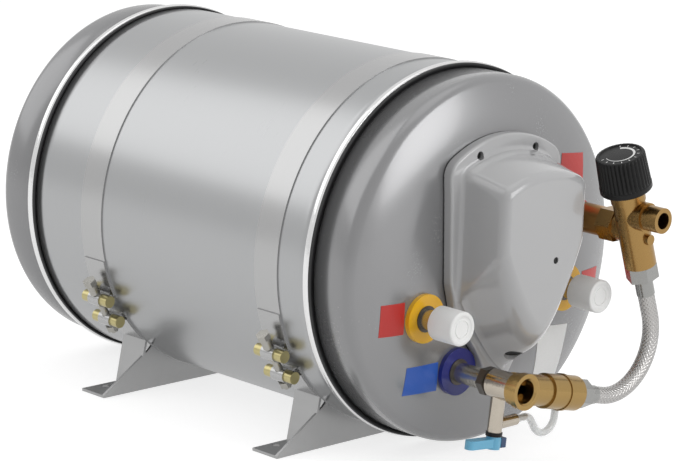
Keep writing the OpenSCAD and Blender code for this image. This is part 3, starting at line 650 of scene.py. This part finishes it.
@dataclass
class Cover:
    """The electrical cover: a rounded hood on a low flange, as one lofted skin."""

    wardrobe: Wardrobe
    half_flange: float = 80.0
    flange_top: float = 336.0
    flange_at: float = 294.0
    hood_at: float = 351.0
    round_r: float = 8.0
    low_round_r: float = 20.0
    fillet: float = 5.0
    edge: float = 2.5
    around: int = 384
    middle: tuple[float, float] = (0.0, 215.0)
    screws: tuple = ((-40.5, 318.0), (40.5, 318.0), (0.0, 84.0))
    screw_r: float = 4.5
    reset: tuple[float, float] = (15.7, 214.0)
    reset_r: float = 3.5
    cable: tuple[float, float, float] = (-5.0, -319.0, 111.5)
    cable_way: tuple[float, float, float] = (-0.3695, -0.5276, -0.7649)
    cable_r: float = 10.0
    sharp: float = math.radians(32)
    hood_half: tuple[float, float] = (64.0, -5.0)
    hood_drop: tuple[float, float] = (-17.0, -14.5)
    hood_low: tuple[float, float] = (92.0, 41.0)
    hood_side: tuple[float, float] = (171.0, 61.0)
    hood_power: tuple[float, float] = (1.3, 0.7)
    side: tuple = ((0.98, 278), (0.93, 190), (0.85, 165), (0.64, 139), (0.475, 121),
                   (0.375, 110), (0.325, 103), (0.28, 95), (0.19, 84), (0.1, 76))

    def flange_line(self, inset: float) -> list:
        """Works out the outline of the flange.

        Args:
            inset: How far it is drawn in.

        Returns:
            The outline's points in x and z.
        """
        k = 1 - inset / 70
        side = [(p[0] * self.half_flange * k, 210 + (p[1] - 210) * k) for p in self.side]
        return (arch(self.half_flange - inset, self.flange_top - inset, 134 - inset,
                     20 - inset) + [(-x, z) for x, z in side] + side[::-1])

    def hood_line(self, k: float, inset: float) -> list:
        """Works out an outline of the hood, which narrows towards its front.

        Args:
            k: Its place, from 0 at the flange to 1 at the front.
            inset: How far it is drawn in.

        Returns:
            The outline's points in x and z.
        """
        w, drop, low, side, power = (a + b * k for a, b in (
            self.hood_half, self.hood_drop, self.hood_low, self.hood_side, self.hood_power))
        w, low = w - inset, low + inset
        top, rise = self.flange_top + drop - inset, side - low
        foot = [(w * x, low + rise * abs(x) ** power) for x in np.linspace(-1, 1, 61)]
        return arch(w, top, 136 - inset, max(13 - inset, 3)) + foot

    def sample(self, line: list) -> np.ndarray:
        """Distance from the middle to an outline at evenly spaced bearings.

        Args:
            line: The outline's points.

        Returns:
            One point of the outline for each bearing.
        """
        pts = np.array(line) - self.middle
        bearing = np.arctan2(pts[:, 1], pts[:, 0])
        order = np.argsort(bearing)
        bearing, pts = bearing[order], pts[order]
        t = np.linspace(-math.pi, math.pi, self.around, endpoint=False)
        nxt = np.searchsorted(bearing, t, side="right") % len(bearing)
        a, b = pts[nxt - 1], pts[nxt]
        d = np.stack([np.cos(t), np.sin(t)], axis=1)
        e = b - a
        cross = d[:, 0] * e[:, 1] - d[:, 1] * e[:, 0]
        cross[np.abs(cross) < 1e-9] = 1e-9
        r = (a[:, 0] * e[:, 1] - a[:, 1] * e[:, 0]) / cross
        return d * r[:, None] + self.middle

    def layers(self, round_r: float) -> tuple[np.ndarray, np.ndarray]:
        """Works out the skin's outlines from the back to the front.

        Args:
            round_r: Radius of the rounding round the hood's front.

        Returns:
            The outlines' distances ahead, and their points in x and z.
        """
        back, step = FACE_H + 1.0, self.flange_at - self.edge
        rows = [(back, self.flange_line(3)), (back, self.flange_line(0))]
        rows += [(h, self.flange_line(0)) for h in (286.0, 289.0, step)]
        for a in np.radians((30, 60, 90)):
            rows.append((step + self.edge * math.sin(a),
                         self.flange_line(self.edge * (1 - math.cos(a)))))
        for a in np.radians(range(0, 91, 15)):
            rows.append((self.flange_at + self.fillet * (1 - math.cos(a)),
                         self.hood_line(0, -self.fillet * (1 - math.sin(a)))))
        flat, deep = self.hood_at - round_r, self.hood_at - self.flange_at
        for h in np.linspace(self.flange_at + 8, flat, 10):
            rows.append((h, self.hood_line((h - self.flange_at) / deep, 0)))
        for a in np.radians(range(6, 91, 6)):
            h = flat + round_r * math.sin(a)
            rows.append((h, self.hood_line((h - self.flange_at) / deep,
                                           round_r * (1 - math.cos(a)))))
        return (np.array([h for h, _ in rows]),
                np.array([self.sample(line) for _, line in rows]))

    def build(self) -> None:
        """Makes the skin, cuts its holes and puts it in place of the CAD cover."""
        ahead, crisp = self.layers(self.round_r)
        soft_ahead, soft = self.layers(self.low_round_r)
        # The front's rounding grows from round_r at z = 240 to low_round_r at z = 150.
        low = np.clip((240 - crisp[-1, :, 1]) / 90, 0, 1)
        share = (low * low * (3 - 2 * low))[None, :, None]
        flat = crisp * (1 - share) + soft * share
        depth = -(ahead[:, None, None] * (1 - share) + soft_ahead[:, None, None] * share)
        points = np.concatenate([flat[..., :1], depth, flat[..., 1:]], axis=-1).reshape(-1, 3)
        n = self.around
        faces = grid_faces(len(ahead), n) + end_faces(len(ahead), n)
        obj = add_mesh("cover_skin", points, faces, "cover_grey", self.wardrobe)
        self.cut(obj)
        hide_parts("electrical_cover")
        LOG.info("cover_skin stands for electrical_cover")

    def cut(self, obj: bpy.types.Object) -> None:
        """Cuts the screw recesses, the reset hole and the cable hole, and sets a black disc of
        painted shade inside the cable hole.

        Args:
            obj: The cover's skin.
        """
        front = (0, -1, 0)
        holes = [((x, -288, z), front, self.screw_r, 8) for x, z in self.screws]
        holes.append(((self.reset[0], -312, self.reset[1]), front, self.reset_r, 45))
        out, mouth = np.array(self.cable_way), np.array(self.cable)
        holes.append((mouth - 14 * out, out, self.cable_r, 30))
        for start, way, r, length in holes:
            cutter = rod("cutter", start, way, r, length, 48)
            mod = obj.modifiers.new("hole", "BOOLEAN")
            mod.operation = "DIFFERENCE"
            mod.solver = "EXACT"
            mod.object = cutter
            bpy.context.view_layer.update()
            graph = bpy.context.evaluated_depsgraph_get()
            mesh = bpy.data.meshes.new_from_object(obj.evaluated_get(graph))
            obj.modifiers.clear()
            obj.data = mesh
            bpy.data.objects.remove(cutter)
        # Painted shade: a black disc a few millimetres inside the cable hole stands for the dark
        # inside of the hollow cover.
        inside = rod("cable_hole_painted_shade", mouth - 8 * out, out, self.cable_r - 0.1, 3, 48)
        self.wardrobe.dress(inside, "black_plastic")
        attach(inside, "heater")
        obj.data.polygons.foreach_set("use_smooth", [True] * len(obj.data.polygons))
        obj.data.set_sharp_from_angle(angle=self.sharp)


def rod(name: str, start: np.ndarray | tuple, way: np.ndarray | tuple, r: float,
        length: float, sides: int) -> bpy.types.Object:
    """Makes a closed rod that isn't dressed and rides on nothing.

    Args:
        name: The object's name.
        start: The middle of its first end, in millimetres.
        way: Its direction.
        r: Its radius in millimetres.
        length: Its length in millimetres.
        sides: Number of sides.

    Returns:
        The new object.
    """
    axis = np.array(way, dtype=float)
    axis /= np.linalg.norm(axis)
    side = np.cross(axis, ASIDE)
    side /= np.linalg.norm(side)
    other = np.cross(axis, side)
    t = np.linspace(0, 2 * math.pi, sides, endpoint=False)
    ring = r * (np.outer(np.cos(t), side) + np.outer(np.sin(t), other)) + np.array(start)
    points = np.concatenate([ring, ring + axis * length])
    faces = grid_faces(2, sides) + end_faces(2, sides)
    mesh = bpy.data.meshes.new(name)
    mesh.from_pydata((points * MM).tolist(), [], faces)
    obj = bpy.data.objects.new(name, mesh)
    bpy.context.scene.collection.objects.link(obj)
    return obj


def valve_points(local: np.ndarray) -> np.ndarray:
    """Moves points from the mixing valve's own axes to the heater's.

    Args:
        local: The points, one row each.

    Returns:
        The moved points.
    """
    c, s = math.cos(VALVE_LEAN), math.sin(VALVE_LEAN)
    turn = np.array([[c, 0, -s], [0, 1, 0], [s, 0, c]])
    return local @ turn.T + VALVE_FOOT


@dataclass
class Knob:
    """The mixing knob: a fluted black cap with white marks on its top."""

    wardrobe: Wardrobe
    low: float = 46.0
    high: float = 86.0
    r_low: float = 27.0
    r_high: float = 25.6
    flutes: int = 36
    flute_deep: float = 1.25
    around: int = 432
    arc_r: float = 14.5
    arc_turn: tuple[float, float] = (-215.0, 40.0)
    arc_wide: tuple[float, float] = (0.5, 3.2)
    arc_points: int = 70
    tick_r: tuple[float, float] = (17.5, 20.2)
    tick_half: float = 0.45
    sharp: float = math.radians(40)

    def rings(self) -> list[tuple[float, float, float]]:
        """Lists the knob's rings from its skirt to the middle of its top.

        Returns:
            Each ring's radius, height and share of the flutes' depth.
        """
        rows = [(21.0, self.low + 6, 0.0), (21.0, self.low, 0.0), (26.2, self.low, 0.0)]
        rows += [(self.r_low, self.low + 0.8, 0.0), (self.r_low, self.low + 5.5, 0.0),
                 (self.r_low - 0.6, self.low + 6.2, 0.2)]
        for k in np.linspace(0, 1, 12):
            u = self.low + 7 + k * (self.high - self.low - 10)
            rows.append((self.r_low - 0.3 + k * (self.r_high - self.r_low + 0.3), u, 1.0))
        top = self.high
        rows += [(self.r_high - 0.3, top - 1.6, 0.8), (self.r_high - 1.0, top - 0.5, 0.4),
                 (self.r_high - 2.2, top, 0.0), (self.r_high - 3.6, top, 0.0),
                 (self.r_high - 4.4, top - 1.2, 0.0), (15.0, top - 1.0, 0.0),
                 (8.0, top - 0.6, 0.0), (0.3, top - 0.5, 0.0)]
        return rows

    def build(self) -> None:
        """Makes the knob and its marks."""
        t = np.linspace(0, 2 * math.pi, self.around, endpoint=False)
        groove = self.flute_deep * (0.5 - 0.5 * np.cos(t * self.flutes)) ** 2
        rings = np.array(self.rings())
        r = rings[:, :1] - groove * rings[:, 2:]
        height = np.broadcast_to(rings[:, 1:2], r.shape)
        points = np.stack([r * np.cos(t), r * np.sin(t), height], axis=-1).reshape(-1, 3)
        points = valve_points(points)
        faces = grid_faces(len(rings), self.around) + end_faces(len(rings), self.around)
        obj = add_mesh("knob_body", points, faces, "black_plastic", self.wardrobe, "knob")
        obj.data.set_sharp_from_angle(angle=self.sharp)
        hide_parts("mixing_knob")
        stem = rod("knob_spindle", valve_points(np.array([[0.0, 0.0, 24.0]]))[0],
                   (-math.sin(VALVE_LEAN), 0, math.cos(VALVE_LEAN)), 5, 32, 32)
        self.wardrobe.dress(stem, "brass")
        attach(stem, "knob")
        self.marks()
        LOG.info("knob_body stands for mixing_knob")

    def marks(self) -> None:
        """Makes the white arc that widens round the knob's top, with a row of ticks."""
        top = self.high - 0.75
        n = self.arc_points
        a = np.radians(np.linspace(*self.arc_turn, n))
        half = np.linspace(*self.arc_wide, n) / 2
        r = np.stack([self.arc_r - half, self.arc_r + half])
        band = np.stack([r * np.cos(a), r * np.sin(a)], axis=-1).reshape(-1, 2)
        a = np.radians(np.arange(-210, 41, 25))
        out = np.column_stack([np.cos(a), np.sin(a)])
        across = np.column_stack([-out[:, 1], out[:, 0]]) * self.tick_half
        near, far = (out * r for r in self.tick_r)
        ticks = np.stack([near - across, far - across, far + across, near + across], axis=1)
        flat = np.concatenate([band, ticks.reshape(-1, 2)])
        points = np.column_stack([flat, np.full(len(flat), top)])
        faces = grid_faces(2, n, wrap=False)
        faces += np.arange(2 * n, len(flat)).reshape(-1, 4).tolist()
        obj = add_mesh("knob_marks", valve_points(points), faces, "cap_white", self.wardrobe,
                       "knob")


@dataclass
class Hose:
    """The braided hose between the check valve and the mixing valve."""

    wardrobe: Wardrobe
    r: float = 8.8
    bend: float = 58.0
    start: float = 68.0
    end: float = 117.0
    dip: float = math.radians(13.0)
    sides: int = 40
    strand: float = 5.2
    strands: int = 14
    step: float = 1.5
    lead_steps: int = 20
    tail_steps: int = 10

    def route(self) -> np.ndarray:
        """Works out the hose's centreline: two straights with one bend between them.
        """
        down = np.array([math.sin(VALVE_LEAN), -math.cos(VALVE_LEAN)])
        out = np.array([math.cos(self.dip), -math.sin(self.dip)])
        a = VALVE_FOOT[::2] + self.start * down
        b = COLD_PORT + self.end * out
        det = down[0] * out[1] - down[1] * out[0]
        gap = b - a
        corner = a + down * (gap[0] * out[1] - gap[1] * out[0]) / det
        turn = math.acos(float(down @ -out))
        cut = self.bend * math.tan(turn / 2)
        p, q = corner - cut * down, corner - cut * out
        normal = np.array([down[1], -down[0]])
        centre = p + self.bend * normal
        from_angle = math.atan2(*(p - centre)[::-1])
        way = np.linspace(from_angle, from_angle - turn, int(self.bend * turn / self.step) + 1)
        bow = centre + self.bend * np.column_stack([np.cos(way), np.sin(way)])
        lead = np.linspace(a, p, self.lead_steps + 1)[:-1]
        tail = np.linspace(q, b, self.tail_steps + 1)[1:]
        return np.concatenate([lead, bow, tail])

    def build(self) -> None:
        """Makes the hose with a braid pattern that follows it."""
        mid = self.route()
        tangent = np.gradient(mid, axis=0)
        tangent /= np.linalg.norm(tangent, axis=1)[:, None]
        normal = np.column_stack([-tangent[:, 1], tangent[:, 0]])
        t = np.linspace(0, 2 * math.pi, self.sides, endpoint=False)
        flat = np.cos(t)[None, :, None] * normal[:, None, :] * self.r + mid[:, None, :]
        depth = np.broadcast_to(np.sin(t) * self.r - FIT_H, flat.shape[:2])
        points = np.stack([flat[..., 0], depth, flat[..., 1]], axis=-1).reshape(-1, 3)
        faces = grid_faces(len(mid), self.sides)
        ends = end_faces(len(mid), self.sides)
        obj = add_mesh("hose_braid", points, faces + ends, "braid_steel", self.wardrobe)
        run = np.concatenate([[0], np.cumsum(np.linalg.norm(np.diff(mid, axis=0), axis=1))])
        self.lay_braid(obj.data, run, len(faces))
        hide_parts("braided_hose")
        LOG.info("hose_braid stands for braided_hose")

    def lay_braid(self, mesh: bpy.types.Mesh, run: np.ndarray, quads: int) -> None:
        """Writes the braid's coordinates: u is the run in strands, v is round the hose.

        Args:
            mesh: The hose's mesh.
            run: Distance along the hose of each ring of points.
            quads: Number of side faces, which come first.
        """
        # The last quad of each ring ends at self.sides, so the pattern closes there.
        index = np.empty(len(mesh.loops), dtype=np.int32)
        mesh.loops.foreach_get("vertex_index", index)
        ring, place = np.divmod(index, self.sides)
        side = place[:quads * 4].reshape(-1, 4)
        side[(side == 0) & (side.max(axis=1, keepdims=True) == self.sides - 1)] = self.sides
        place[:quads * 4] = side.ravel()
        uv = np.column_stack([run[ring] / self.strand, place / self.sides * self.strands])
        layer = mesh.uv_layers.new(name="braid")
        layer.data.foreach_set("uv", uv.ravel())


@dataclass
class Studio:
    """Floor, world, lights and the camera at the photograph's angle."""

    azimuth: float = math.radians(-44.17)
    elevation: float = math.radians(13.01)
    roll: float = math.radians(1.85)
    focal_px: float = 2977.0
    shift_mm: tuple[float, float, float] = (-193.7, -60.1, 3374.0)
    frame_px: int = 680
    pivot: tuple[float, float, float] = (0.0, 0.225, 0.2)
    aim: tuple[float, float, float] = (0.0, -0.02, 0.2)
    floor_half: float = 14.0
    floor_drop: float = 0.0002
    floor_seen: float = 0.5
    floor_lit: float = 0.8
    floor_glow: float = 0.74
    glossy_floor: float = 0.75
    room_way: tuple[float, float, float] = (0.55, -0.1, 0.3)
    room_slope: float = 0.35
    room_level: float = 0.5
    glossy_room: float = 0.7
    lights: dict[str, tuple] = field(default_factory=lambda: {
        "key": ((0.8, -2.8, 1.3), 1.7, 26.0),
        "top": ((0.2, -0.2, 2.7), 1.8, 5.0),
        "side": ((-1.6, 1.8, 2.3), 3.0, 24.0),
    })

    def build(self) -> None:
        """Makes the whole studio."""
        self.floor()
        self.world()
        for name, (place, size, power) in self.lights.items():
            self.softbox(name, place, size, power)
        self.camera()

    def floor(self) -> None:
        """Makes the pale floor on the plane that the feet stand on."""
        mesh = bpy.data.meshes.new("floor")
        s = self.floor_half
        mesh.from_pydata([(-s, -s, 0), (s, -s, 0), (s, s, 0), (-s, s, 0)], [], [(0, 1, 2, 3)])
        obj = bpy.data.objects.new("floor", mesh)
        bpy.context.scene.collection.objects.link(obj)
        obj.location.z = -self.floor_drop
        mat = bpy.data.materials.new("floor")
        mat.use_nodes = True
        shader = mat.node_tree.nodes["Principled BSDF"]
        shader.inputs["Roughness"].default_value = 0.7
        shader.inputs["Specular IOR Level"].default_value = 0.0
        shader.inputs["Emission Color"].default_value = (1, 1, 1, 1)
        tree = mat.node_tree
        path = tree.nodes.new("ShaderNodeLightPath")
        clear = math_node(tree, "MAXIMUM", path.outputs["Is Camera Ray"],
                          path.outputs["Is Transmission Ray"])
        seen = math_node(tree, "MULTIPLY_ADD", path.outputs["Is Glossy Ray"],
                         self.glossy_floor, clear)
        tone = math_node(tree, "MULTIPLY_ADD", seen, self.floor_seen - self.floor_lit,
                         self.floor_lit)
        tree.links.new(tone, shader.inputs["Base Color"])
        glow = math_node(tree, "MULTIPLY", seen, self.floor_glow)
        tree.links.new(glow, shader.inputs["Emission Strength"])
        mesh.materials.append(mat)

    def world(self) -> None:
        """Makes a white room: white to the camera, and a soft gradient to the surfaces."""
        world = bpy.data.worlds.new("room")
        bpy.context.scene.world = world
        world.use_nodes = True
        tree = world.node_tree
        back = tree.nodes["Background"]
        coord = tree.nodes.new("ShaderNodeTexCoord")
        lean = tree.nodes.new("ShaderNodeVectorMath")
        lean.operation = "DOT_PRODUCT"
        lean.inputs[1].default_value = self.room_way
        tree.links.new(coord.outputs["Generated"], lean.inputs[0])
        room = math_node(tree, "MULTIPLY_ADD", lean.outputs["Value"], self.room_slope,
                         self.room_level)
        path = tree.nodes.new("ShaderNodeLightPath")
        seen = math_node(tree, "MAXIMUM", path.outputs["Is Camera Ray"],
                         path.outputs["Is Transmission Ray"])
        white = math_node(tree, "MULTIPLY_ADD", path.outputs["Is Glossy Ray"],
                          self.glossy_room, seen)
        share = math_node(tree, "MINIMUM", white, 1.0)
        rest = math_node(tree, "SUBTRACT", 1.0, share)
        level = math_node(tree, "MULTIPLY_ADD", room, rest, share)
        tree.links.new(level, back.inputs["Color"])
        back.inputs["Strength"].default_value = 1.0

    def softbox(self, name: str, place: tuple[float, float, float], size: float,
                power: float) -> None:
        """Adds a square area light that faces the heater.

        Args:
            name: The light's name.
            place: Where it stands, in metres.
            size: Its edge, in metres.
            power: Its power, in watts.
        """
        lamp = bpy.data.lights.new(name, "AREA")
        lamp.size = size
        lamp.energy = power
        obj = bpy.data.objects.new(name, lamp)
        bpy.context.scene.collection.objects.link(obj)
        obj.location = place
        aim = Vector(self.aim) - Vector(place)
        obj.rotation_euler = aim.to_track_quat("-Z", "Y").to_euler()

    def camera(self) -> None:
        """Sets the camera by the bearing, roll and focal length found from the photograph."""
        az, el = self.azimuth, self.elevation
        back = Vector((math.sin(az) * math.cos(el), -math.cos(az) * math.cos(el), math.sin(el)))
        right = (-back).cross(Vector((0, 0, 1))).normalized()
        up = right.cross(-back)
        r2 = math.cos(self.roll) * right + math.sin(self.roll) * up
        u2 = -math.sin(self.roll) * right + math.cos(self.roll) * up
        x, y, z = self.shift_mm
        eye = -(x * r2 - y * u2 - z * back) * MM + Vector(self.pivot)
        cam = bpy.data.cameras.new("camera")
        cam.sensor_width = SENSOR_MM
        cam.lens = self.focal_px * SENSOR_MM / self.frame_px
        cam.clip_end = 60
        obj = bpy.data.objects.new("camera", cam)
        bpy.context.scene.collection.objects.link(obj)
        turn = Matrix((r2, u2, back)).transposed().to_4x4()
        obj.matrix_world = Matrix.Translation(eye) @ turn
        bpy.context.scene.camera = obj


def main(frame: dict) -> None:
    """Builds the dressed heater and its studio.

    Args:
        frame: The loaded CAD frame.
    """
    logging.basicConfig(level=logging.INFO)
    bpy.context.scene.view_settings.view_transform = "Standard"
    wardrobe = Wardrobe()
    CadPieces(frame, wardrobe).build()
    Tank(wardrobe).build()
    Cover(wardrobe).build()
    Knob(wardrobe).build()
    Hose(wardrobe).build()
    PortCap(wardrobe, "left", LEFT_PORT).build()
    PortCap(wardrobe, "right", RIGHT_PORT).build()
    Studio().build()


if __name__ == "__main__":
    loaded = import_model()
    main(loaded)
